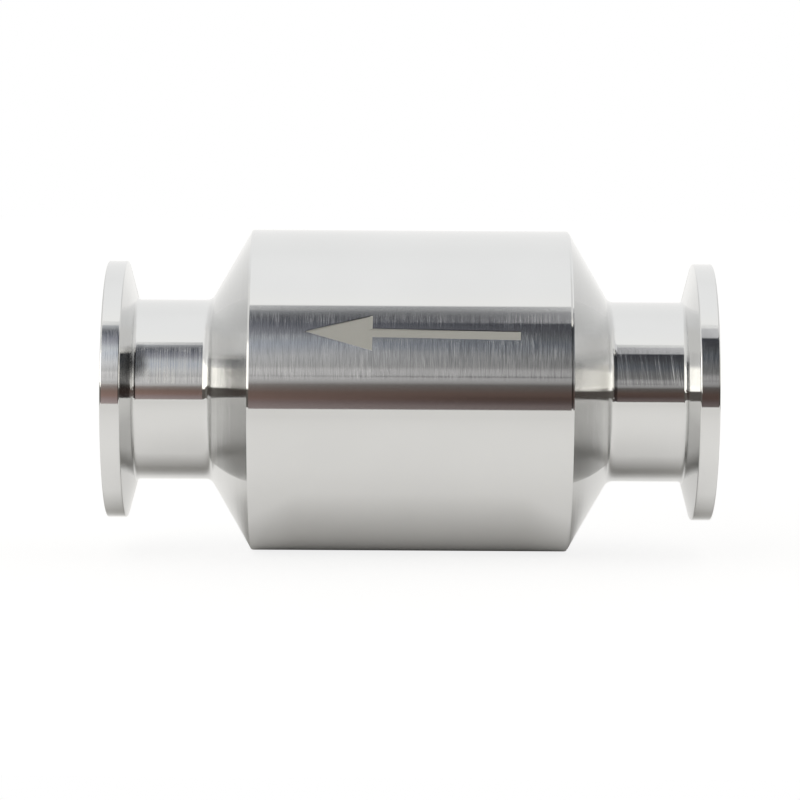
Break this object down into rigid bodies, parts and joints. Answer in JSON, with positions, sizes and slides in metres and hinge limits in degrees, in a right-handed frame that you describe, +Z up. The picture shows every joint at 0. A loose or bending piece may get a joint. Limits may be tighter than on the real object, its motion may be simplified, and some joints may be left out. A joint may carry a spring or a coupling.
{
  "type": "vacuum non-return valve",
  "caption": "Inline vacuum non-return valve in turned stainless steel, with clamp flanges at both ends, a flow arrow and a sprung poppet inside.",
  "frame": {"origin": "on the valve axis, halfway between the two flange faces", "axes": "+X along the axis towards the inlet flange, against the flow; +Z up as in the picture; the arrow is on the -Y side, towards the viewer"},
  "size_m": [0.094, 0.05, 0.05],
  "materials": {
    "turned_stainless": "turned, satin",
    "machined_stainless": "turned, bright",
    "spring_stainless": "drawn, bright",
    "fluoro_rubber": "matt",
    "white_fluoroplastic": "waxy"
  },
  "bodies": {
    "housing": {"valve_body": "turned_stainless", "inlet_end_piece": "turned_stainless", "body_sealing_ring": "fluoro_rubber", "stem_guide": "machined_stainless", "guide_bush": "white_fluoroplastic", "retaining_ring": "spring_stainless", "return_spring": "spring_stainless"},
    "poppet": {"poppet_disc": "machined_stainless", "poppet_stem": "machined_stainless", "seat_gasket": "fluoro_rubber", "gasket_retainer": "machined_stainless", "lock_washer": "machined_stainless", "poppet_nut": "machined_stainless", "stop_washer": "machined_stainless", "stem_clip": "spring_stainless"}
  },
  "joints": [
    {"name": "poppet_lift", "type": "slide", "parent": "housing", "child": "poppet", "axis": [-1, 0, 0], "range_m": [0, 0.006], "stiffness_N_per_m": 350, "springref_m": -0.0041, "deforming": ["return_spring"]}
  ]
}
